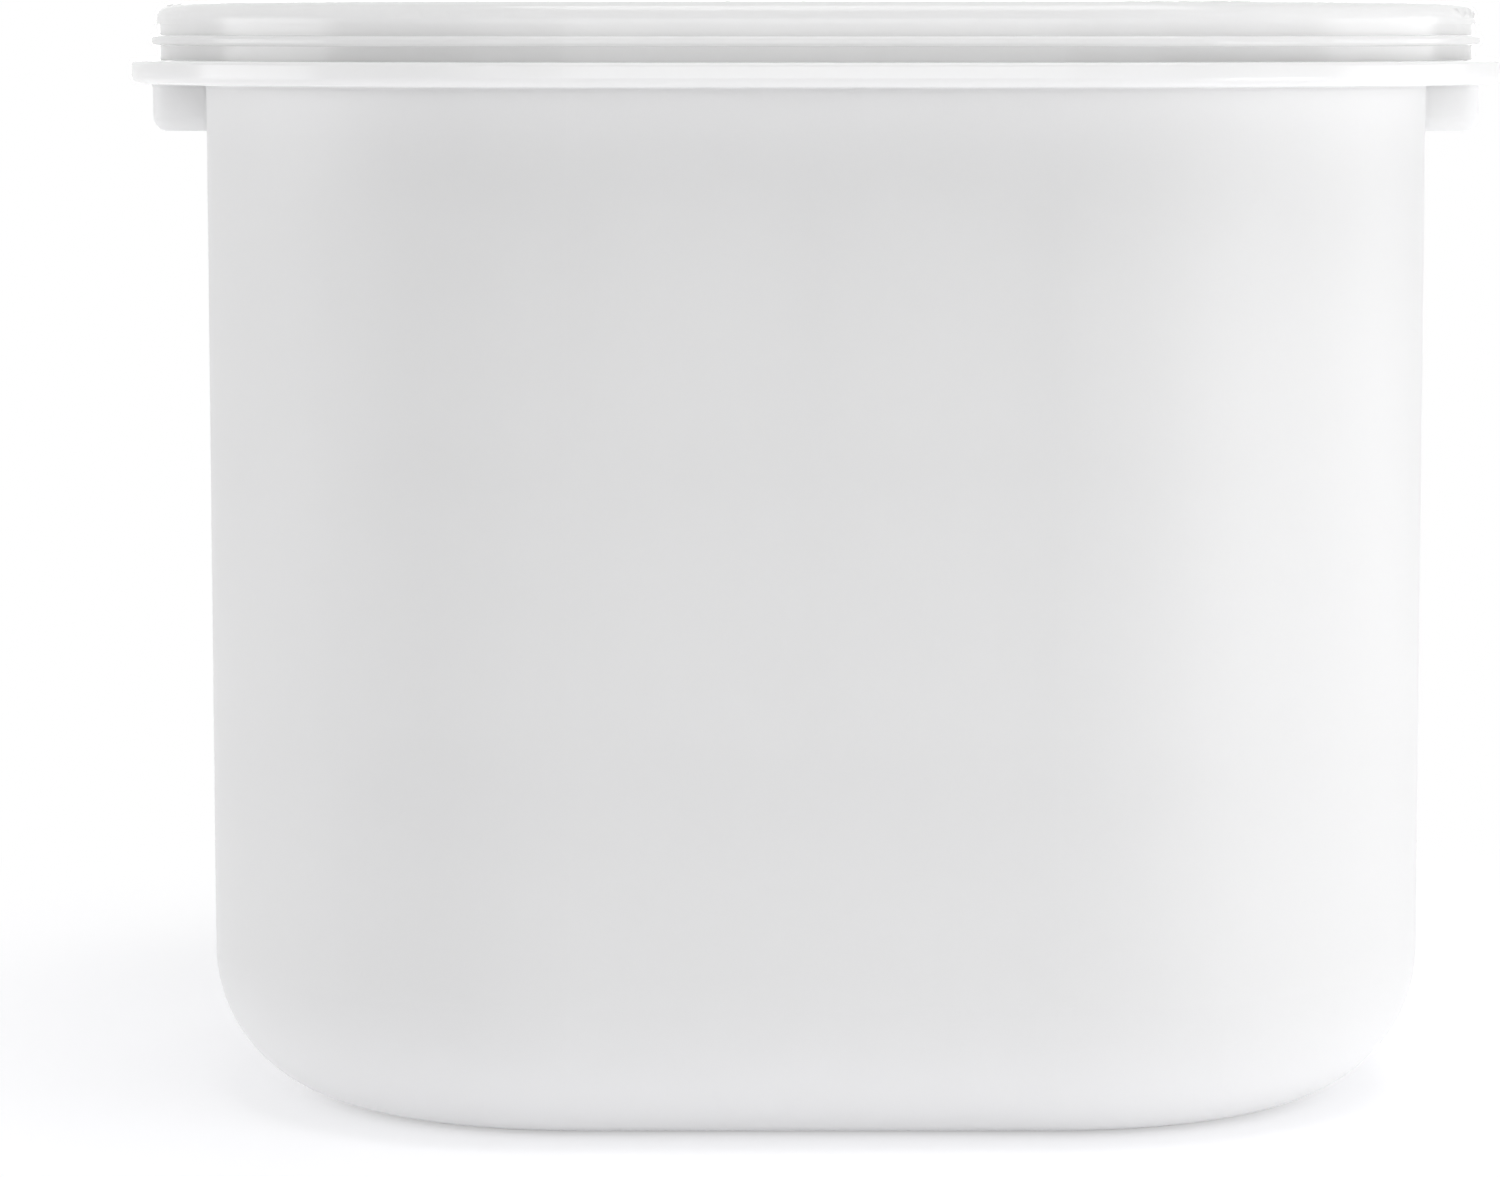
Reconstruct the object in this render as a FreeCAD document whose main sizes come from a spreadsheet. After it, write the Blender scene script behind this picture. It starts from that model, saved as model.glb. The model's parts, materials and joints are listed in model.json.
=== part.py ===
"""Rounded-square yogurt tub with a draining basket that hangs on its inner ledge.

Millimetres, +Z up, origin at the middle of the tub's underside. The front faces -Y.
"""
import FreeCAD, Part
import math
import os
import Sketcher

doc = FreeCAD.newDocument("yogurt_tub")

# Driving dimensions
SIZES = {
    "body_width": 120.0,
    "corner_radius": 37.0,
    "wall": 2.0,
    "floor_thickness": 2.2,
    "total_height": 108.1,
    "base_roll": 14.5,
    "base_recess_width": 72.0,
    "base_recess_depth": 0.6,
    "flange_thickness": 2.3,
    "flange_overhang": 7.4,
    "flange_edge_round": 0.9,
    "flange_top_round": 0.4,
    "shoulder_round": 0.6,
    "neck_height": 5.55,
    "neck_step": 4.55,
    "neck_wall": 1.9,
    "ring_height": 1.0,
    "ring_reach": 0.85,
    "ring_rise": 1.4,
    "ring_round": 0.4,
    "lip_height": 2.1,
    "lip_reach": 0.35,
    "lip_round": 1.6,
    "lip_inner_round": 0.3,
    "ledge_round": 0.5,
    "grip_length": 46.2,
    "grip_reach": 5.65,
    "grip_drop": 4.8,
    "grip_round": 1.5,
    "grip_root_round": 0.6,
    "pocket_floor": 2.0,
    "pocket_end_wall": 2.0,
    "rim_clearance": 0.4,
    "rim_thickness": 1.8,
    "basket_clearance": 1.5,
    "basket_wall": 1.8,
    "basket_floor": 2.0,
    "basket_roll": 6.0,
    "whey_depth": 24.0,
    "rib_width": 2.5,
    "corner_post": 13.0,
    "window_columns": 4,
    "window_rows": 2,
    "window_margin": 7.0,
    "floor_border": 8.0,
    "floor_columns": 4,
    "mesh_thickness": 0.5,
    "mesh_margin": 3.0,
    "mesh_seam": 1.0,
    "mesh_play": 0.3,
    "handle_thickness": 2.6,
    "handle_seat": 1.2,
    "handle_seat_start": 9.0,
    "handle_rest_gap": 0.3,
    "handle_edge_round": 0.6,
    "handle_end_round": 2.2,
    "handle_shoulder_round": 1.0,
    "tab_width": 7.0,
    "tab_thickness": 3.0,
    "tab_clearance": 0.4,
    "tab_gap": 0.2,
    "pivot_drop": 3.4,
    "pivot_block_width": 9.0,
    "pivot_block_height": 4.4,
    "pivot_block_reach": 0.8,
    "pin_diameter": 3.0,
    "pin_play": 0.05,
    "pin_head_diameter": 6.0,
    "pin_head_thickness": 1.4,
    "pin_head_round": 0.5,
}

sheet = doc.addObject("Spreadsheet::Sheet", "sizes")
for row, (alias, size) in enumerate(SIZES.items(), start=1):
    sheet.set(f"A{row}", alias)
    sheet.set(f"B{row}", str(size))
    sheet.setAlias(f"B{row}", alias)
doc.recompute()


def value(expression):
    """The number that an expression on the sheet gives."""
    return float(sheet.evalExpression(expression))


# Levels above the tub's underside
TOP = "sizes.total_height"
LEDGE = "(sizes.total_height - sizes.neck_height)"
FLANGE_UNDER = f"({LEDGE} - sizes.flange_thickness)"
GRIP_UNDER = f"({FLANGE_UNDER} - sizes.grip_drop)"
POCKET_BED = f"({GRIP_UNDER} + sizes.pocket_floor)"
RING_UNDER = f"({LEDGE} + sizes.ring_rise)"
LIP_UNDER = f"({TOP} - sizes.lip_height)"
RIM_TOP = f"({LEDGE} + sizes.rim_thickness)"
BASKET_UNDER = "(sizes.floor_thickness + sizes.whey_depth)"
BASKET_BED = f"({BASKET_UNDER} + sizes.basket_floor)"
HANDLE_UNDER = f"({RIM_TOP} + sizes.handle_rest_gap)"
HANDLE_TOP = f"({HANDLE_UNDER} + sizes.handle_thickness)"
PIVOT = f"({RIM_TOP} - sizes.pivot_drop)"

# Half widths of the rounded squares, each with the body's corner centres
BODY = "(sizes.body_width / 2)"
CORNER_CENTRE = f"({BODY} - sizes.corner_radius)"
CAVITY = f"({BODY} - sizes.wall)"
FLANGE = f"({BODY} + sizes.flange_overhang)"
NECK = f"({BODY} + sizes.neck_step)"
NECK_BORE = f"({NECK} - sizes.neck_wall)"
RING = f"({NECK} + sizes.ring_reach)"
LIP = f"({NECK} + sizes.lip_reach)"
GRIP = f"({BODY} + sizes.grip_reach)"
RIM = f"({NECK_BORE} - sizes.rim_clearance)"
BASKET = f"({CAVITY} - sizes.basket_clearance)"
BASKET_BORE = f"({BASKET} - sizes.basket_wall)"
MESH_BORE = f"({BASKET_BORE} - sizes.mesh_thickness)"
HANDLE = f"({BASKET_BORE} + sizes.handle_seat)"
TAB_FACE = f"({BASKET_BORE} - sizes.tab_clearance)"
HANDLE_BORE = f"({TAB_FACE} - sizes.tab_thickness)"
PIVOT_BLOCK = f"({BASKET} + sizes.pivot_block_reach)"
BASKET_BED_ROLL = "(sizes.basket_roll - sizes.basket_wall)"


def plane(body, role):
    """One of the body's own origin planes or axes."""
    return next(item for item in body.Origin.OriginFeatures if item.Role == role)


def new_body(name):
    body = doc.addObject("PartDesign::Body", name)
    body.Label = name
    return body


def new_sketch(body, name, role="XY_Plane", level="0"):
    """An empty sketch parallel to an origin plane, at a level along the plane's normal."""
    sketch = body.newObject("Sketcher::SketchObject", name)
    sketch.AttachmentSupport = [(plane(body, role), "")]
    sketch.MapMode = "FlatFace"
    sketch.setExpression("AttachmentOffset.Base.z", level)
    return sketch


def bind(sketch, constraint, name, expression):
    """Add a dimension to a sketch, name it and tie it to the sheet."""
    index = sketch.addConstraint(constraint)
    sketch.renameConstraint(index, name)
    sketch.setExpression(f"Constraints.{name}", expression)


def draw_rounded_square(sketch, name, half, centre):
    """A square with round corners about the origin; centre is how far out its corner centres lie."""
    reach = value(half)
    inner = value(centre)
    radius = reach - inner
    first = sketch.GeometryCount
    turns = ((1, 1), (1, -1), (-1, -1), (-1, 1))
    starts = (math.pi / 2, 0, -math.pi / 2, math.pi)
    up = FreeCAD.Vector(0, 0, 1)
    for (sign_x, sign_y), start in zip(turns, starts):
        middle = FreeCAD.Vector(sign_x * inner, sign_y * inner, 0)
        finish = FreeCAD.Vector(math.cos(start - math.pi / 2), math.sin(start - math.pi / 2), 0) * radius
        circle = Part.Circle(middle, up, radius)
        sketch.addGeometry(Part.ArcOfCircle(circle, start - math.pi / 2, start), False)
        side_end = middle + finish + FreeCAD.Vector(finish).cross(up).normalize() * 2 * inner
        sketch.addGeometry(Part.LineSegment(middle + finish, side_end), False)
    arcs = [first + 2 * k for k in range(4)]
    lines = [first + 2 * k + 1 for k in range(4)]
    for k in range(4):
        sketch.addConstraint(Sketcher.Constraint("Tangent", arcs[k], 1, lines[k], 1))
        sketch.addConstraint(Sketcher.Constraint("Tangent", lines[k], 2, arcs[(k + 1) % 4], 2))
    for k in range(1, 4):
        sketch.addConstraint(Sketcher.Constraint("Equal", arcs[0], arcs[k]))
    for line, kind in zip(lines, ("Vertical", "Horizontal", "Vertical", "Horizontal")):
        sketch.addConstraint(Sketcher.Constraint(kind, line))
    right, bottom, left, top = lines
    bind(sketch, Sketcher.Constraint("DistanceX", -1, 1, right, 1, reach), f"{name}_right", half)
    bind(sketch, Sketcher.Constraint("DistanceX", left, 1, -1, 1, reach), f"{name}_left", half)
    bind(sketch, Sketcher.Constraint("DistanceY", -1, 1, top, 1, reach), f"{name}_back", half)
    bind(sketch, Sketcher.Constraint("DistanceY", bottom, 1, -1, 1, reach), f"{name}_front", half)
    bind(sketch, Sketcher.Constraint("Radius", arcs[0], radius), f"{name}_corner", f"{half} - {centre}")


def draw_rectangle(sketch, name, left, right, low, high):
    """A plain rectangle given by its four sides' distances from the sketch's origin."""
    corners = [FreeCAD.Vector(value(u), value(v), 0)
               for u, v in ((left, low), (right, low), (right, high), (left, high))]
    first = sketch.GeometryCount
    for k in range(4):
        sketch.addGeometry(Part.LineSegment(corners[k], corners[(k + 1) % 4]), False)
    for k in range(4):
        sketch.addConstraint(Sketcher.Constraint("Coincident", first + k, 2, first + (k + 1) % 4, 1))
    for k, kind in enumerate(("Horizontal", "Vertical", "Horizontal", "Vertical")):
        sketch.addConstraint(Sketcher.Constraint(kind, first + k))
    bind(sketch, Sketcher.Constraint("DistanceX", -1, 1, first, 1, value(left)), f"{name}_left", left)
    bind(sketch, Sketcher.Constraint("DistanceX", -1, 1, first, 2, value(right)), f"{name}_right", right)
    bind(sketch, Sketcher.Constraint("DistanceY", -1, 1, first, 1, value(low)), f"{name}_low", low)
    bind(sketch, Sketcher.Constraint("DistanceY", -1, 1, first + 2, 1, value(high)), f"{name}_high", high)


def draw_circle(sketch, name, u, v, radius):
    """A circle at (u, v) from the sketch's origin."""
    up = FreeCAD.Vector(0, 0, 1)
    middle = FreeCAD.Vector(value(u), value(v), 0)
    circle = sketch.addGeometry(Part.Circle(middle, up, value(radius)), False)
    bind(sketch, Sketcher.Constraint("DistanceX", -1, 1, circle, 3, value(u)), f"{name}_u", u)
    bind(sketch, Sketcher.Constraint("DistanceY", -1, 1, circle, 3, value(v)), f"{name}_v", v)
    bind(sketch, Sketcher.Constraint("Radius", circle, value(radius)), f"{name}_radius", radius)


def extrude(body, kind, name, sketch, length, reverse=False):
    """Pad or pocket a sketch by a length."""
    feature = body.newObject(f"PartDesign::{kind}", name)
    feature.Profile = sketch
    feature.Reversed = reverse
    feature.setExpression("Length", length)
    doc.recompute()
    return feature


def cut_through(body, name, sketch):
    """Pocket a sketch right through the body, both ways."""
    feature = body.newObject("PartDesign::Pocket", name)
    feature.Profile = sketch
    feature.SideType = "Symmetric"
    feature.Type = "ThroughAll"
    doc.recompute()
    return feature


def square_pad(body, name, half, low, high):
    """Pad a rounded square from one level up to another."""
    sketch = new_sketch(body, f"{name}_outline", level=low)
    draw_rounded_square(sketch, "outline", half, CORNER_CENTRE)
    return extrude(body, "Pad", name, sketch, f"{high} - {low}")


def square_pocket(body, name, half, high, low):
    """Cut a rounded square from one level down to another."""
    sketch = new_sketch(body, f"{name}_outline", level=high)
    draw_rounded_square(sketch, "outline", half, CORNER_CENTRE)
    return extrude(body, "Pocket", name, sketch, f"{high} - {low}")


def round_edges(body, name, radius, chosen):
    """Fillet the edges of the body's last feature that a test picks by their points."""
    base = body.Tip
    edges = [f"Edge{k}" for k, edge in enumerate(base.Shape.Edges, start=1)
             if not edge.Degenerated and all(chosen(point) for point in edge.discretize(5))]
    fillet = body.newObject("PartDesign::Fillet", name)
    fillet.Base = (base, edges)
    fillet.setExpression("Radius", radius)
    doc.recompute()
    return fillet


NEAR = 0.01


def on_outline(half):
    """A test for points above or below a rounded square's outline, at any level."""
    inner = value(CORNER_CENTRE)
    radius = value(half) - inner

    def chosen(point):
        out_x = max(abs(point.x) - inner, 0)
        out_y = max(abs(point.y) - inner, 0)
        return abs(math.hypot(out_x, out_y) - radius) < NEAR
    return chosen


def on_square(half, level):
    """A test for points on a rounded square's outline at a level."""
    outline = on_outline(half)
    height = value(level)
    return lambda point: outline(point) and abs(point.z - height) < NEAR


def make_tub():
    body = new_body("tub")
    square_pad(body, "outer_wall", BODY, "0", LEDGE)
    square_pad(body, "flange", FLANGE, FLANGE_UNDER, LEDGE)
    round_edges(body, "shoulder", "sizes.shoulder_round", on_square(BODY, FLANGE_UNDER))
    round_edges(body, "flange_lower_edge", "sizes.flange_edge_round", on_square(FLANGE, FLANGE_UNDER))
    round_edges(body, "flange_upper_edge", "sizes.flange_top_round", on_square(FLANGE, LEDGE))
    square_pad(body, "neck", NECK, LEDGE, TOP)
    ring_top = f"({RING_UNDER} + sizes.ring_height)"
    square_pad(body, "snap_ring", RING, RING_UNDER, ring_top)
    low_edge = on_square(RING, RING_UNDER)
    high_edge = on_square(RING, ring_top)
    round_edges(body, "ring_edges", "sizes.ring_round", lambda point: low_edge(point) or high_edge(point))
    square_pad(body, "lip", LIP, LIP_UNDER, TOP)
    round_edges(body, "lip_edge", "sizes.lip_round", on_square(LIP, TOP))
    add_grips(body)
    square_pocket(body, "cavity", CAVITY, TOP, "sizes.floor_thickness")
    round_edges(body, "cavity_edge", "sizes.base_roll - sizes.wall",
                on_square(CAVITY, "sizes.floor_thickness"))
    round_edges(body, "base_edge", "sizes.base_roll", on_square(BODY, "0"))
    square_pocket(body, "neck_bore", NECK_BORE, TOP, LEDGE)
    round_edges(body, "lip_inner_edge", "sizes.lip_inner_round", on_square(NECK_BORE, TOP))
    round_edges(body, "ledge_edge", "sizes.ledge_round", on_square(CAVITY, LEDGE))
    cut_grip_pockets(body)
    recess = new_sketch(body, "base_recess_outline")
    recess_half = "(sizes.base_recess_width / 2)"
    draw_rounded_square(recess, "outline", recess_half, CORNER_CENTRE)
    extrude(body, "Pocket", "base_recess", recess, "sizes.base_recess_depth", reverse=True)
    return body


def add_grips(body):
    """One bar through the body, whose two ends stand out under the flange as the grip lugs."""
    half_length = "(sizes.grip_length / 2)"
    sketch = new_sketch(body, "grip_outline", level=GRIP_UNDER)
    draw_rectangle(sketch, "grip", f"-{GRIP}", GRIP, f"-{half_length}", half_length)
    extrude(body, "Pad", "grips", sketch, f"{FLANGE_UNDER} - {GRIP_UNDER}")
    end = value(GRIP)
    side = value(half_length)
    low = value(GRIP_UNDER)
    wall = value(BODY)
    on_wall = on_outline(BODY)

    def on_side(point):
        return abs(abs(point.y) - side) < NEAR

    def on_end(point):
        return abs(abs(point.x) - end) < NEAR

    def outer_bottom(point):
        return abs(point.z - low) < NEAR and abs(point.x) > wall + NEAR

    round_edges(body, "grip_ends", "sizes.grip_round", lambda point: on_side(point) and on_end(point))
    round_edges(body, "grip_bottoms", "sizes.grip_round", outer_bottom)
    round_edges(body, "grip_roots", "sizes.grip_root_round", lambda point: on_side(point) and on_wall(point))


def cut_grip_pockets(body):
    """Hollow both lugs from inside, level with the neck's bore so that a straight core leaves them."""
    half_length = "(sizes.grip_length / 2 - sizes.pocket_end_wall)"
    sketch = new_sketch(body, "grip_pocket_outline", level=LEDGE)
    draw_rectangle(sketch, "pocket", f"-{NECK_BORE}", NECK_BORE, f"-{half_length}", half_length)
    extrude(body, "Pocket", "grip_pockets", sketch, f"{LEDGE} - {POCKET_BED}")


def make_strainer_frame():
    body = new_body("strainer_frame")
    square_pad(body, "basket", BASKET, BASKET_UNDER, LEDGE)
    square_pad(body, "rim", RIM, LEDGE, RIM_TOP)
    add_pivot_blocks(body)
    square_pocket(body, "basket_cavity", BASKET_BORE, RIM_TOP, BASKET_BED)
    round_edges(body, "basket_bed_edge", BASKET_BED_ROLL, on_square(BASKET_BORE, BASKET_BED))
    round_edges(body, "basket_edge", "sizes.basket_roll", on_square(BASKET, BASKET_UNDER))
    cut_side_windows(body)
    cut_floor_windows(body)
    bore = new_sketch(body, "pin_bore_outline", "YZ_Plane")
    draw_circle(bore, "bore", "0", PIVOT, "sizes.pin_diameter / 2")
    cut_through(body, "pin_bores", bore)
    return body


def add_pivot_blocks(body):
    """A bar through the basket under its rim; its ends stay outside the walls and hold the handle's pins."""
    half = "(sizes.pivot_block_width / 2)"
    sketch = new_sketch(body, "pivot_block_outline", level=f"{LEDGE} - sizes.pivot_block_height")
    draw_rectangle(sketch, "block", f"-{PIVOT_BLOCK}", PIVOT_BLOCK, f"-{half}", half)
    extrude(body, "Pad", "pivot_blocks", sketch, "sizes.pivot_block_height")


def spread(body, name, pocket, first, second, turned=False):
    """Repeat a pocket along one or two axes, and a quarter turn round as well for the side walls.

    Each of first and second is (direction, spacing, count).
    """
    pattern = body.newObject("PartDesign::MultiTransform", name)
    pattern.Originals = [pocket]
    steps = []
    for index, (direction, spacing, count) in enumerate((first, second)):
        row = body.newObject("PartDesign::LinearPattern", f"{name}_row{index}")
        row.Direction = direction
        row.Mode = "Spacing"
        row.setExpression("Offset", spacing)
        row.setExpression("Occurrences", count)
        steps.append(row)
    if turned:
        quarter = body.newObject("PartDesign::PolarPattern", f"{name}_quarter")
        quarter.Axis = (plane(body, "Z_Axis"), [""])
        quarter.Mode = "Spacing"
        quarter.Offset = 90
        quarter.Occurrences = 2
        steps.append(quarter)
    pattern.Transformations = steps
    body.Tip = pattern
    doc.recompute()
    return pattern


def cut_side_windows(body):
    """Windows through the four walls, in rows and columns between ribs, with a post left at each corner."""
    post_half = "(sizes.corner_post / 2 * sqrt(0.5))"
    corner_middle = f"({CORNER_CENTRE} + ({BASKET} - {CORNER_CENTRE}) * sqrt(0.5))"
    reach = f"({corner_middle} - {post_half})"
    low = f"({BASKET_UNDER} + sizes.basket_roll + sizes.window_margin)"
    high = f"({LEDGE} - sizes.pivot_block_height - sizes.window_margin)"
    width = f"((2 * {reach} - (sizes.window_columns - 1) * sizes.rib_width) / sizes.window_columns)"
    height = f"(({high} - {low} - (sizes.window_rows - 1) * sizes.rib_width) / sizes.window_rows)"
    sketch = new_sketch(body, "side_window_outline", "XZ_Plane")
    draw_rectangle(sketch, "window", f"-{reach}", f"{width} - {reach}", low, f"{low} + {height}")
    pocket = cut_through(body, "side_window", sketch)
    spread(body, "side_windows", pocket,
           ((plane(body, "X_Axis"), [""]), f"{width} + sizes.rib_width", "sizes.window_columns"),
           ((plane(body, "Z_Axis"), [""]), f"{height} + sizes.rib_width", "sizes.window_rows"),
           turned=True)


def cut_floor_windows(body):
    """A grid of square openings between the floor's ribs."""
    reach = f"({BASKET} - sizes.basket_roll - sizes.floor_border)"
    width = f"((2 * {reach} - (sizes.floor_columns - 1) * sizes.rib_width) / sizes.floor_columns)"
    sketch = new_sketch(body, "floor_window_outline", level=BASKET_BED)
    draw_rectangle(sketch, "window", f"-{reach}", f"{width} - {reach}", f"-{reach}", f"{width} - {reach}")
    pocket = extrude(body, "Pocket", "floor_window", sketch, "sizes.basket_floor")
    step = f"{width} + sizes.rib_width"
    spread(body, "floor_windows", pocket,
           ((plane(body, "X_Axis"), [""]), step, "sizes.floor_columns"),
           ((plane(body, "Y_Axis"), [""]), step, "sizes.floor_columns"))


def make_mesh_wall(name, quarter_turns):
    """A strip of mesh bonded inside one wall, running round half of each corner beside it."""
    low = f"({BASKET_BED} + {BASKET_BED_ROLL} + sizes.mesh_play)"
    high = f"({LEDGE} - sizes.pivot_block_height - sizes.mesh_margin)"
    body = new_body(name)
    band = new_sketch(body, f"{name}_band", level=low)
    draw_rounded_square(band, "outer", BASKET_BORE, CORNER_CENTRE)
    draw_rounded_square(band, "inner", MESH_BORE, CORNER_CENTRE)
    extrude(body, "Pad", f"{name}_strip", band, f"{high} - {low}")
    trim = new_sketch(body, f"{name}_trim", level=high)
    draw_three_quarters(trim)
    extrude(body, "Pocket", f"{name}_ends", trim, f"{high} - {low}")
    axis = FreeCAD.Vector(0, 0, 1)
    body.Placement = FreeCAD.Placement(FreeCAD.Vector(), FreeCAD.Rotation(axis, 90 * quarter_turns))
    return body


def draw_three_quarters(sketch):
    """A square without its front wedge, which leaves half a seam's width beside each diagonal."""
    far = f"(2 * {BASKET})"
    tip = "(-sizes.mesh_seam * sqrt(0.5))"
    mouth = f"({tip} - {far})"
    corners = (("0", tip), (far, mouth), (far, far), (f"-{far}", far), (f"-{far}", mouth))
    spots = [FreeCAD.Vector(value(u), value(v), 0) for u, v in corners]
    count = len(spots)
    for k in range(count):
        sketch.addGeometry(Part.LineSegment(spots[k], spots[(k + 1) % count]), False)
    for k in range(count):
        sketch.addConstraint(Sketcher.Constraint("Coincident", k, 2, (k + 1) % count, 1))
    for k, (u, v) in enumerate(corners):
        bind(sketch, Sketcher.Constraint("DistanceX", -1, 1, k, 1, value(u)), f"corner{k}_x", u)
        bind(sketch, Sketcher.Constraint("DistanceY", -1, 1, k, 1, value(v)), f"corner{k}_y", v)


def make_mesh_floor():
    body = new_body("mesh_floor")
    half = f"({BASKET_BORE} - {BASKET_BED_ROLL} - sizes.mesh_play)"
    square_pad(body, "mesh_floor_sheet", half, BASKET_BED, f"({BASKET_BED} + sizes.mesh_thickness)")
    return body


def make_handle():
    """Half of a rounded-square hoop that lies on the basket's rim, folded to the back.

    Each end is narrowed to pass inside the basket's wall, and has a tab down to its pin.
    """
    body = new_body("handle")
    hoop = new_sketch(body, "hoop_outline", level=HANDLE_UNDER)
    draw_rounded_square(hoop, "outer", HANDLE, CORNER_CENTRE)
    draw_rounded_square(hoop, "inner", HANDLE_BORE, CORNER_CENTRE)
    extrude(body, "Pad", "hoop", hoop, "sizes.handle_thickness")
    front = new_sketch(body, "front_half_outline", level=HANDLE_TOP)
    far = f"(2 * {HANDLE})"
    draw_rectangle(front, "front", f"-{far}", far, f"-{far}", "-sizes.tab_width / 2")
    extrude(body, "Pocket", "front_half", front, "sizes.handle_thickness")
    narrow_ends(body)
    add_tabs(body)
    end = -value("sizes.tab_width / 2")
    top = value(HANDLE_TOP)
    round_edges(body, "strap_ends", "sizes.handle_end_round",
                lambda point: abs(point.y - end) < NEAR and abs(point.z - top) < NEAR)
    outer = on_square(HANDLE, HANDLE_TOP)
    inner = on_square(HANDLE_BORE, HANDLE_TOP)
    round_edges(body, "strap_edges", "sizes.handle_edge_round", lambda point: outer(point) or inner(point))
    bore = new_sketch(body, "tab_bore_outline", "YZ_Plane")
    draw_circle(bore, "bore", "0", PIVOT, "sizes.pin_diameter / 2 + sizes.pin_play")
    cut_through(body, "tab_bores", bore)
    return body


def narrow_ends(body):
    """Cut away the part of the strap over the rim near the pins, so that it can swing up."""
    start = "sizes.handle_seat_start"
    front = "-sizes.tab_width"
    sketch = new_sketch(body, "narrow_end_outline", level=HANDLE_TOP)
    draw_rectangle(sketch, "right", TAB_FACE, f"2 * {HANDLE}", front, start)
    draw_rectangle(sketch, "left", f"-2 * {HANDLE}", f"-{TAB_FACE}", front, start)
    extrude(body, "Pocket", "narrow_ends", sketch, "sizes.handle_thickness")
    shoulder = value(start)
    inner = value(TAB_FACE)
    round_edges(body, "narrow_end_roots", "sizes.handle_shoulder_round",
                lambda point: abs(abs(point.x) - inner) < NEAR and abs(point.y - shoulder) < NEAR)


def add_tabs(body):
    """Round-ended tabs that hang from the strap to the pins, on both sides."""
    half = "(sizes.tab_width / 2)"
    for side, sign in (("right", 1), ("left", -1)):
        start = HANDLE_BORE if sign > 0 else f"-{HANDLE_BORE}"
        shank = new_sketch(body, f"{side}_shank_outline", "YZ_Plane", start)
        draw_rectangle(shank, "shank", f"-{half}", half, PIVOT, HANDLE_UNDER)
        extrude(body, "Pad", f"{side}_shank", shank, "sizes.tab_thickness", reverse=sign < 0)
        eye = new_sketch(body, f"{side}_eye_outline", "YZ_Plane", start)
        draw_circle(eye, "eye", "0", PIVOT, half)
        extrude(body, "Pad", f"{side}_eye", eye, "sizes.tab_thickness", reverse=sign < 0)


def make_pin(name, sign):
    """A headed pin, put in from inside: it passes the handle's tab and is pressed into the basket's wall."""
    body = new_body(name)
    head_face = f"({HANDLE_BORE} - sizes.tab_gap)"
    start = head_face if sign > 0 else f"-{head_face}"
    shank = new_sketch(body, f"{name}_shank_outline", "YZ_Plane", start)
    draw_circle(shank, "shank", "0", PIVOT, "sizes.pin_diameter / 2")
    extrude(body, "Pad", f"{name}_shank", shank, f"{PIVOT_BLOCK} - {head_face}", reverse=sign < 0)
    head = new_sketch(body, f"{name}_head_outline", "YZ_Plane", start)
    draw_circle(head, "head", "0", PIVOT, "sizes.pin_head_diameter / 2")
    extrude(body, "Pad", f"{name}_head", head, "sizes.pin_head_thickness", reverse=sign > 0)
    inner_face = value(f"{head_face} - sizes.pin_head_thickness")
    round_edges(body, f"{name}_head_edge", "sizes.pin_head_round",
                lambda point: abs(abs(point.x) - inner_face) < NEAR)
    return body


def check_document():
    """Stop if any object failed to rebuild."""
    doc.recompute()
    failed = [item.Name for item in doc.Objects if "Invalid" in item.State or "Error" in item.State]
    if failed:
        raise RuntimeError(f"these objects failed to rebuild: {failed}")


def write_parts(bodies):
    """Check every sub-part's solid, then write one file for each."""
    for body in bodies:
        if body.Shape.isNull() or not body.Shape.isValid() or not body.Shape.Solids:
            raise RuntimeError(f"{body.Label} has no valid solid")
    os.makedirs("parts", exist_ok=True)
    for body in bodies:
        body.Shape.exportStep(f"parts/{body.Label}.step")
        box = body.Shape.optimalBoundingBox(False)
        print(f"{body.Label}: {len(body.Shape.Solids)} solid, {body.Shape.Volume:.0f} mm3,"
              f" x {box.XMin:.2f} {box.XMax:.2f} y {box.YMin:.2f} {box.YMax:.2f}"
              f" z {box.ZMin:.2f} {box.ZMax:.2f}")


sub_parts = [make_tub(), make_strainer_frame()]
for side, turns in (("front", 0), ("right", 1), ("back", 2), ("left", 3)):
    sub_parts.append(make_mesh_wall(f"mesh_{side}", turns))
sub_parts.append(make_mesh_floor())
sub_parts.append(make_handle())
sub_parts.append(make_pin("handle_pin_right", 1))
sub_parts.append(make_pin("handle_pin_left", -1))
check_document()
write_parts(sub_parts)
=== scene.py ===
"""Looks for the yogurt tub: moulded plastic finishes, woven mesh in the basket, soft studio light."""
import json
import math

import bmesh
import bpy
from mathutils import Matrix, Vector


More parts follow.
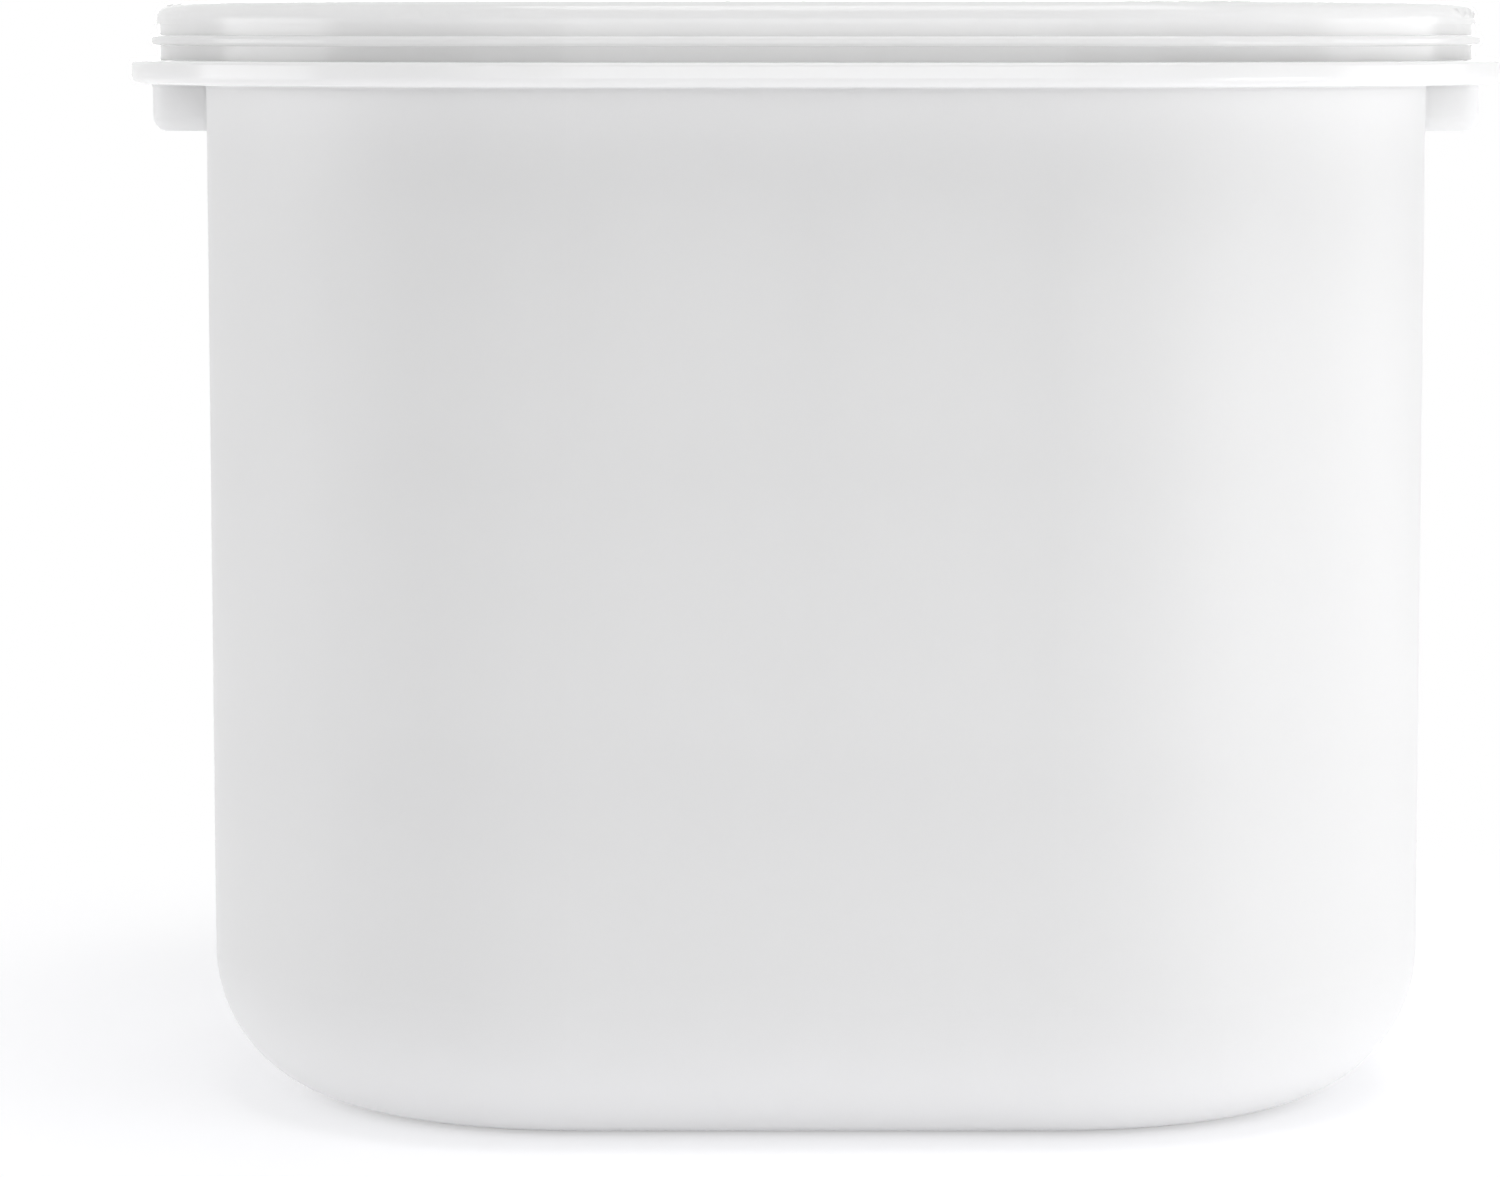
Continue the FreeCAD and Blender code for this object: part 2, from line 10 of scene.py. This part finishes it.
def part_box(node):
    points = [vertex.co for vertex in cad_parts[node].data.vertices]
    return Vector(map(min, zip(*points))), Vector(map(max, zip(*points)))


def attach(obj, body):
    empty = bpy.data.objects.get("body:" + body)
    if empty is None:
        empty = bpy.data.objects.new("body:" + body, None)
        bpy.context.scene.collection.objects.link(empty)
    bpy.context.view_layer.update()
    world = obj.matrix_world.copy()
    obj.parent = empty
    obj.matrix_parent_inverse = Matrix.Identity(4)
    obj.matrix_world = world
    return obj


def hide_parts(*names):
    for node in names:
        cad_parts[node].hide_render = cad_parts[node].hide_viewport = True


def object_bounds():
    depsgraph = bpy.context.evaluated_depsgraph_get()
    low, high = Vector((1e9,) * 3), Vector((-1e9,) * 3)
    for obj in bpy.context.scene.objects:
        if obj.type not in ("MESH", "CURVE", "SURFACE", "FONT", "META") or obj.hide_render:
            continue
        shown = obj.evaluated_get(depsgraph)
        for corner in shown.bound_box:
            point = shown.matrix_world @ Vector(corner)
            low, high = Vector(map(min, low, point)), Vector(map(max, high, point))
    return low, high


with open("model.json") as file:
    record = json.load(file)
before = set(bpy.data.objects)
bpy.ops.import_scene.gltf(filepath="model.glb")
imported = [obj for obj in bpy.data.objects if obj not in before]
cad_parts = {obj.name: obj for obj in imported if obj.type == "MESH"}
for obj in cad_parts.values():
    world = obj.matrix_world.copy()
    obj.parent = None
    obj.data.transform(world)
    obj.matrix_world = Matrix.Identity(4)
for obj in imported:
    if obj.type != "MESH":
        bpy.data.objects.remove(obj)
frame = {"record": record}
cad_low, cad_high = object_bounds()

MM = 0.001
WHITE = (1, 1, 1, 1)
SCENE = bpy.context.scene
SCENE.view_settings.view_transform = "Standard"


# Camera

PHOTO_WIDTH = 1500
SENSOR_WIDTH = 36.0
FOCAL_PIXELS = 5414
TUB_MIDDLE_PIXEL = 816
TUB_HALF_WIDTH = 0.060
CAMERA_TO_FRONT_WALL = 0.500
EYE_HEIGHT = 0.1063
TILT_DOWN = math.radians(5.985)
NEAREST_SEEN = 0.01


def place_camera():
    """A long lens at the rim's height, with the tub a little right of the picture's middle."""
    data = bpy.data.cameras.new("camera")
    data.sensor_width = SENSOR_WIDTH
    data.lens = FOCAL_PIXELS * SENSOR_WIDTH / PHOTO_WIDTH
    data.shift_x = (PHOTO_WIDTH / 2 - TUB_MIDDLE_PIXEL) / PHOTO_WIDTH
    data.clip_start = NEAREST_SEEN
    camera = bpy.data.objects.new("camera", data)
    camera.location = (0, -TUB_HALF_WIDTH - CAMERA_TO_FRONT_WALL, EYE_HEIGHT)
    camera.rotation_euler = (math.pi / 2 - TILT_DOWN, 0, 0)
    SCENE.collection.objects.link(camera)
    SCENE.camera = camera


# Light and stage

AMBIENT_STRENGTH = 0.43
FLOOR_HALF_SIDE = 0.35
FLOOR_FADE_START = 0.07
FLOOR_FADE_END = 0.16
FLOOR_LIFT = 0.42
PAPER_COLOUR = (0.95, 0.95, 0.97, 1)
SHADED_PAPER_COLOUR = (0.74, 0.74, 0.76, 1)


def new_material(name):
    """A material with the nodes and links that its finish is made of."""
    material = bpy.data.materials.new(name)
    material.use_nodes = True
    return material, material.node_tree.nodes, material.node_tree.links


def see_white(nodes, links):
    """A factor that is one for rays which should meet the white background."""
    path = nodes.new("ShaderNodeLightPath")
    mirror = nodes.new("ShaderNodeMath")
    mirror.operation = "MAXIMUM"
    links.new(path.outputs["Is Camera Ray"], mirror.inputs[0])
    links.new(path.outputs["Is Glossy Ray"], mirror.inputs[1])
    clear = nodes.new("ShaderNodeMath")
    clear.operation = "MAXIMUM"
    links.new(mirror.outputs[0], clear.inputs[0])
    links.new(path.outputs["Is Transmission Ray"], clear.inputs[1])
    return clear.outputs[0]


def light_world():
    """White to look at, with a weaker even light on the object."""
    world = bpy.data.worlds.new("studio")
    SCENE.world = world
    world.use_nodes = True
    nodes, links = world.node_tree.nodes, world.node_tree.links
    nodes.clear()
    seen = nodes.new("ShaderNodeBackground")
    seen.inputs["Color"].default_value = WHITE
    ambient = nodes.new("ShaderNodeBackground")
    ambient.inputs["Color"].default_value = WHITE
    ambient.inputs["Strength"].default_value = AMBIENT_STRENGTH
    mix = nodes.new("ShaderNodeMixShader")
    links.new(see_white(nodes, links), mix.inputs["Fac"])
    links.new(ambient.outputs[0], mix.inputs[1])
    links.new(seen.outputs[0], mix.inputs[2])
    out = nodes.new("ShaderNodeOutputWorld")
    links.new(mix.outputs[0], out.inputs["Surface"])


def softbox(name, place, width, height, watts):
    """A rectangular lamp that faces the tub's middle and isn't seen itself."""
    data = bpy.data.lights.new(name, "AREA")
    data.shape = "RECTANGLE"
    data.size = width
    data.size_y = height
    data.energy = watts
    lamp = bpy.data.objects.new(name, data)
    lamp.location = place
    middle = (cad_low + cad_high) / 2
    lamp.rotation_euler = (middle - Vector(place)).to_track_quat("-Z", "Y").to_euler()
    lamp.visible_camera = False
    SCENE.collection.objects.link(lamp)


def floor_paper():
    """Pale paper: the camera sees the tub's soft shadow on it, which fades to white round about."""
    material, nodes, links = new_material("floor_paper")
    nodes.clear()
    paper = nodes.new("ShaderNodeBsdfDiffuse")
    paper.inputs["Color"].default_value = PAPER_COLOUR
    shaded = nodes.new("ShaderNodeBsdfDiffuse")
    shaded.inputs["Color"].default_value = SHADED_PAPER_COLOUR
    glow = nodes.new("ShaderNodeEmission")
    glow.inputs["Strength"].default_value = FLOOR_LIFT
    lifted = nodes.new("ShaderNodeAddShader")
    links.new(shaded.outputs[0], lifted.inputs[0])
    links.new(glow.outputs[0], lifted.inputs[1])
    white = nodes.new("ShaderNodeEmission")
    place = nodes.new("ShaderNodeTexCoord")
    distance = nodes.new("ShaderNodeVectorMath")
    distance.operation = "LENGTH"
    links.new(place.outputs["Object"], distance.inputs[0])
    fade = nodes.new("ShaderNodeMapRange")
    fade.interpolation_type = "SMOOTHSTEP"
    fade.inputs["From Min"].default_value = FLOOR_FADE_START
    fade.inputs["From Max"].default_value = FLOOR_FADE_END
    links.new(distance.outputs["Value"], fade.inputs["Value"])
    seen = nodes.new("ShaderNodeMixShader")
    links.new(fade.outputs["Result"], seen.inputs["Fac"])
    links.new(lifted.outputs[0], seen.inputs[1])
    links.new(white.outputs[0], seen.inputs[2])
    mix = nodes.new("ShaderNodeMixShader")
    links.new(see_white(nodes, links), mix.inputs["Fac"])
    links.new(paper.outputs[0], mix.inputs[1])
    links.new(seen.outputs[0], mix.inputs[2])
    out = nodes.new("ShaderNodeOutputMaterial")
    links.new(mix.outputs[0], out.inputs["Surface"])
    return material


def lay_floor():
    """A flat sheet of paper under the tub."""
    bm = bmesh.new()
    bmesh.ops.create_grid(bm, x_segments=1, y_segments=1, size=FLOOR_HALF_SIDE)
    mesh = bpy.data.meshes.new("floor")
    bm.to_mesh(mesh)
    bm.free()
    mesh.materials.append(floor_paper())
    floor = bpy.data.objects.new("floor", mesh)
    SCENE.collection.objects.link(floor)


# Finishes

CLOUD_SCALE = 24
CLOUD_DETAIL = 3
CLOUD_LOW = 0.3
CLOUD_HIGH = 0.7
GRAIN_DETAIL = 2
GRAIN_BUMP = 0.05
GRAIN_DEPTH = 0.05 * MM
PLASTIC_IOR = 1.49
SCATTER_DEPTH = 3 * MM
POLISH_EDGE = 0.4 * MM
LATHE_RING_SCALE = 900
LATHE_RING_WANDER = 0.6
STEEL_DARK = (0.62, 0.62, 0.63, 1)
STEEL_LIGHT = (0.72, 0.72, 0.73, 1)
STEEL_ROUGH_LOW = 0.22
STEEL_ROUGH_HIGH = 0.34


def moulded_skin_group():
    """Faint cloudiness, uneven gloss and fine grain of a moulded plastic surface."""
    group = bpy.data.node_groups.new("moulded_skin", "ShaderNodeTree")
    face = group.interface
    for name in ("Colour", "Cloud Colour"):
        face.new_socket(name, in_out="INPUT", socket_type="NodeSocketColor")
    for name in ("Cloud Scale", "Rough Low", "Rough High", "Grain Scale"):
        face.new_socket(name, in_out="INPUT", socket_type="NodeSocketFloat")
    face.new_socket("Colour", in_out="OUTPUT", socket_type="NodeSocketColor")
    for name in ("Roughness", "Height"):
        face.new_socket(name, in_out="OUTPUT", socket_type="NodeSocketFloat")
    nodes, links = group.nodes, group.links
    given = nodes.new("NodeGroupInput")
    out = nodes.new("NodeGroupOutput")
    place = nodes.new("ShaderNodeTexCoord")
    cloud = nodes.new("ShaderNodeTexNoise")
    cloud.inputs["Detail"].default_value = CLOUD_DETAIL
    links.new(place.outputs["Object"], cloud.inputs["Vector"])
    links.new(given.outputs["Cloud Scale"], cloud.inputs["Scale"])
    tint = nodes.new("ShaderNodeMix")
    tint.data_type = "RGBA"
    links.new(cloud.outputs["Fac"], tint.inputs["Factor"])
    links.new(given.outputs["Colour"], tint.inputs["A"])
    links.new(given.outputs["Cloud Colour"], tint.inputs["B"])
    links.new(tint.outputs["Result"], out.inputs["Colour"])
    rough = nodes.new("ShaderNodeMapRange")
    rough.inputs["From Min"].default_value = CLOUD_LOW
    rough.inputs["From Max"].default_value = CLOUD_HIGH
    links.new(cloud.outputs["Fac"], rough.inputs["Value"])
    links.new(given.outputs["Rough Low"], rough.inputs["To Min"])
    links.new(given.outputs["Rough High"], rough.inputs["To Max"])
    links.new(rough.outputs["Result"], out.inputs["Roughness"])
    grain = nodes.new("ShaderNodeTexNoise")
    grain.inputs["Detail"].default_value = GRAIN_DETAIL
    links.new(place.outputs["Object"], grain.inputs["Vector"])
    links.new(given.outputs["Grain Scale"], grain.inputs["Scale"])
    links.new(grain.outputs["Fac"], out.inputs["Height"])
    return group


def plastic(name, skin, colour, cloud_colour, rough, grain_scale, glow):
    """A satin moulded plastic with a range of roughness; glow is how much light scatters inside it."""
    material, nodes, links = new_material(name)
    shader = nodes["Principled BSDF"]
    surface = nodes.new("ShaderNodeGroup")
    surface.node_tree = skin
    surface.inputs["Colour"].default_value = (*colour, 1)
    surface.inputs["Cloud Colour"].default_value = (*cloud_colour, 1)
    surface.inputs["Cloud Scale"].default_value = CLOUD_SCALE
    surface.inputs["Rough Low"].default_value = rough[0]
    surface.inputs["Rough High"].default_value = rough[1]
    surface.inputs["Grain Scale"].default_value = grain_scale
    bump = nodes.new("ShaderNodeBump")
    bump.inputs["Strength"].default_value = GRAIN_BUMP
    bump.inputs["Distance"].default_value = GRAIN_DEPTH
    links.new(surface.outputs["Colour"], shader.inputs["Base Color"])
    links.new(surface.outputs["Roughness"], shader.inputs["Roughness"])
    links.new(surface.outputs["Height"], bump.inputs["Height"])
    links.new(bump.outputs["Normal"], shader.inputs["Normal"])
    shader.inputs["IOR"].default_value = PLASTIC_IOR
    shader.inputs["Subsurface Weight"].default_value = glow
    shader.inputs["Subsurface Radius"].default_value = (1, 1, 1)
    shader.inputs["Subsurface Scale"].default_value = SCATTER_DEPTH
    return material


def flange_underside():
    """Height of the flange's underside, where one of the part's mounts lies."""
    mounts = frame["record"]["mounts"]
    seat = next(mount for mount in mounts if mount["name"] == "flange_seat")
    return seat["pos_m"][2]


def polish_neck(material, roughness):
    """The tub's flange and neck come from a polished mould, and the body below from a finely etched one."""
    nodes, links = material.node_tree.nodes, material.node_tree.links
    shader = nodes["Principled BSDF"]
    etched = shader.inputs["Roughness"].links[0].from_socket
    place = nodes.new("ShaderNodeTexCoord")
    height = nodes.new("ShaderNodeSeparateXYZ")
    links.new(place.outputs["Object"], height.inputs["Vector"])
    neck = nodes.new("ShaderNodeMapRange")
    neck.inputs["From Min"].default_value = flange_underside() - POLISH_EDGE
    neck.inputs["From Max"].default_value = flange_underside()
    links.new(height.outputs["Z"], neck.inputs["Value"])
    blend = nodes.new("ShaderNodeMix")
    links.new(neck.outputs["Result"], blend.inputs["Factor"])
    links.new(etched, blend.inputs["A"])
    blend.inputs["B"].default_value = roughness
    links.new(blend.outputs["Result"], shader.inputs["Roughness"])


def turned_steel():
    """Pin heads with fine rings from the lathe; both pins turn about X."""
    material, nodes, links = new_material("turned_steel")
    shader = nodes["Principled BSDF"]
    low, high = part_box("handle_pin_left")
    axis_height = (low.z + high.z) / 2
    place = nodes.new("ShaderNodeTexCoord")
    shift = nodes.new("ShaderNodeMapping")
    shift.inputs["Location"].default_value = (0, 0, -axis_height)
    links.new(place.outputs["Object"], shift.inputs["Vector"])
    rings = nodes.new("ShaderNodeTexWave")
    rings.wave_type = "RINGS"
    rings.rings_direction = "X"
    rings.inputs["Scale"].default_value = LATHE_RING_SCALE
    rings.inputs["Distortion"].default_value = LATHE_RING_WANDER
    links.new(shift.outputs["Vector"], rings.inputs["Vector"])
    tone = nodes.new("ShaderNodeMix")
    tone.data_type = "RGBA"
    tone.inputs["A"].default_value = STEEL_DARK
    tone.inputs["B"].default_value = STEEL_LIGHT
    links.new(rings.outputs["Fac"], tone.inputs["Factor"])
    links.new(tone.outputs["Result"], shader.inputs["Base Color"])
    rough = nodes.new("ShaderNodeMapRange")
    rough.inputs["To Min"].default_value = STEEL_ROUGH_LOW
    rough.inputs["To Max"].default_value = STEEL_ROUGH_HIGH
    links.new(rings.outputs["Fac"], rough.inputs["Value"])
    links.new(rough.outputs["Result"], shader.inputs["Roughness"])
    shader.inputs["Metallic"].default_value = 1
    return material


def dress(node, material):
    """Give a CAD node its finish."""
    data = bpy.data.objects[node].data
    data.materials.clear()
    data.materials.append(material)


# Woven mesh

THREAD_PITCH = 1.0 * MM
THREAD_RADIUS = 0.17 * MM
STRIP_SEAM = 0.5 * MM


class Weave:
    """Threads that pass over and under each other, gathered in one curve."""

    def __init__(self):
        self.curve = bpy.data.curves.new("threads", "CURVE")
        self.curve.dimensions = "3D"
        self.curve.bevel_depth = THREAD_RADIUS
        self.curve.bevel_resolution = 0
        self.curve.use_fill_caps = True

    def thread(self, points):
        """Add one thread along its points."""
        spline = self.curve.splines.new("POLY")
        spline.points.add(len(points) - 1)
        for knot, point in zip(spline.points, points):
            knot.co = (*point, 1)

    def finish(self, node, material):
        """Turn the threads into a mesh piece that stands for the CAD sheet."""
        name = f"{node}_weave"
        holder = bpy.data.objects.new("threads", self.curve)
        SCENE.collection.objects.link(holder)
        bpy.context.view_layer.update()
        graph = bpy.context.evaluated_depsgraph_get()
        mesh = bpy.data.meshes.new_from_object(holder.evaluated_get(graph))
        bpy.data.objects.remove(holder)
        bpy.data.curves.remove(self.curve)
        mesh.name = name
        mesh.materials.clear()
        mesh.materials.append(material)
        piece = bpy.data.objects.new(name, mesh)
        SCENE.collection.objects.link(piece)
        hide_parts(node)
        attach(piece, "strainer")


def steps(low, high, pitch):
    """Evenly spaced values from low to high, about a pitch apart."""
    count = max(round((high - low) / pitch), 1)
    return [low + (high - low) * k / count for k in range(count + 1)]


def over_under(row, column):
    """Which side of the sheet's middle a thread lies on where it crosses another."""
    return THREAD_RADIUS if (row + column) % 2 else -THREAD_RADIUS


def corner_centre():
    """How far out the corner centres lie that all the rounded squares share.

    The front strip ends beside the corner's diagonal, where its outer face gives the corner's radius.
    """
    low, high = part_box("mesh_front")
    outer_face, end_reach = -low.y, -high.y
    diagonal = math.sqrt(0.5)
    return (end_reach - outer_face * diagonal) / (1 - diagonal)


def wall_outline(turn):
    """The middle line of a mesh strip seen from above, as a function of the distance along it.

    The front strip is a straight run between two eighths of a turn; turn swings it to its wall.
    """
    floor_low, floor_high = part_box("mesh_floor")
    sheet_thickness = floor_high.z - floor_low.z
    half_run = corner_centre()
    radius = -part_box("mesh_front")[0].y - sheet_thickness / 2 - half_run
    half_length = half_run + radius * math.pi / 4 - STRIP_SEAM
    wall_turn = Matrix.Rotation(math.radians(turn), 3, "Z")

    def spot(along, rise, height):
        """A point at a distance along the strip, pushed outwards by rise."""
        bend = math.copysign(max(abs(along) - half_run, 0) / radius, along)
        run = max(min(along, half_run), -half_run)
        out = Vector((math.sin(bend), -math.cos(bend), 0))
        return wall_turn @ (Vector((run, -half_run, height)) + out * (radius + rise))
    return spot, half_length


def weave_wall(side, turn, material):
    """One strip of mesh that follows a wall of the basket and half of each corner beside it."""
    node = f"mesh_{side}"
    low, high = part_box(node)
    spot, half_length = wall_outline(turn)
    columns = steps(-half_length + THREAD_RADIUS, half_length - THREAD_RADIUS, THREAD_PITCH)
    rows = steps(low.z + THREAD_RADIUS, high.z - THREAD_RADIUS, THREAD_PITCH)
    weave = Weave()
    for c, along in enumerate(columns):
        weave.thread([spot(along, over_under(r, c), height) for r, height in enumerate(rows)])
    for r, height in enumerate(rows):
        weave.thread([spot(along, -over_under(r, c), height) for c, along in enumerate(columns)])
    weave.finish(node, material)


def weave_floor(material):
    """The sheet of mesh on the basket's floor ribs, a rounded square."""
    low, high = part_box("mesh_floor")
    middle = (low.z + high.z) / 2
    half = high.x
    spread = corner_centre()
    radius = half - spread
    lines = steps(-half + THREAD_RADIUS, half - THREAD_RADIUS, THREAD_PITCH)
    weave = Weave()

    def reach(across):
        """How far a thread runs before it meets the sheet's round corner."""
        beyond = max(abs(across) - spread, 0)
        return spread + math.sqrt(max(radius * radius - beyond * beyond, 0))

    for along_y in (False, True):
        for r, across in enumerate(lines):
            points = []
            for c, along in enumerate(lines):
                if abs(along) > reach(across):
                    continue
                rise = over_under(r, c) if along_y else -over_under(r, c)
                points.append((across, along, middle + rise) if along_y else (along, across, middle + rise))
            if len(points) > 1:
                weave.thread(points)
    weave.finish("mesh_floor", material)


# Put it together

place_camera()
light_world()
softbox("right_side", place=(0.60, 0.05, 0.05), width=0.5, height=0.22, watts=0.6)
softbox("left_side", place=(-0.58, -0.06, 0.05), width=0.4, height=0.22, watts=0.58)
softbox("right_near", place=(0.24, -0.20, 0.035), width=0.12, height=0.08, watts=0.135)
softbox("front", place=(0.0, -0.90, 0.10), width=0.9, height=0.3, watts=0.8)
softbox("flange_glint", place=(0.0, -0.58, 0.096), width=0.13, height=0.03, watts=0.03)
softbox("above", place=(0.10, -0.20, 0.85), width=0.5, height=0.5, watts=2.2)
softbox("behind", place=(0.0, 0.90, 0.25), width=0.6, height=0.4, watts=2.4)
softbox("light_table", place=(0.0, 0.0, 0.0001), width=0.7, height=0.7, watts=0.29)
lay_floor()

skin = moulded_skin_group()
tub_plastic = plastic(
    "tub_plastic", skin, colour=(0.82, 0.82, 0.82), cloud_colour=(0.85, 0.85, 0.85),
    rough=(0.44, 0.52), grain_scale=2600, glow=1.0)
polish_neck(tub_plastic, roughness=0.16)
basket_plastic = plastic(
    "basket_plastic", skin, colour=(0.86, 0.86, 0.85), cloud_colour=(0.89, 0.89, 0.88),
    rough=(0.38, 0.48), grain_scale=2200, glow=0.2)
handle_plastic = plastic(
    "handle_plastic", skin, colour=(0.85, 0.85, 0.84), cloud_colour=(0.88, 0.88, 0.87),
    rough=(0.32, 0.44), grain_scale=2000, glow=0.2)
nylon = plastic(
    "nylon_thread", skin, colour=(0.84, 0.84, 0.83), cloud_colour=(0.88, 0.88, 0.86),
    rough=(0.3, 0.4), grain_scale=3000, glow=0.0)
steel = turned_steel()

dress("tub", tub_plastic)
dress("strainer_frame", basket_plastic)
dress("handle", handle_plastic)
dress("handle_pin_left", steel)
dress("handle_pin_right", steel)
for side, turn in (("front", 0), ("right", 90), ("back", 180), ("left", 270)):
    weave_wall(side, turn, nylon)
weave_floor(nylon)
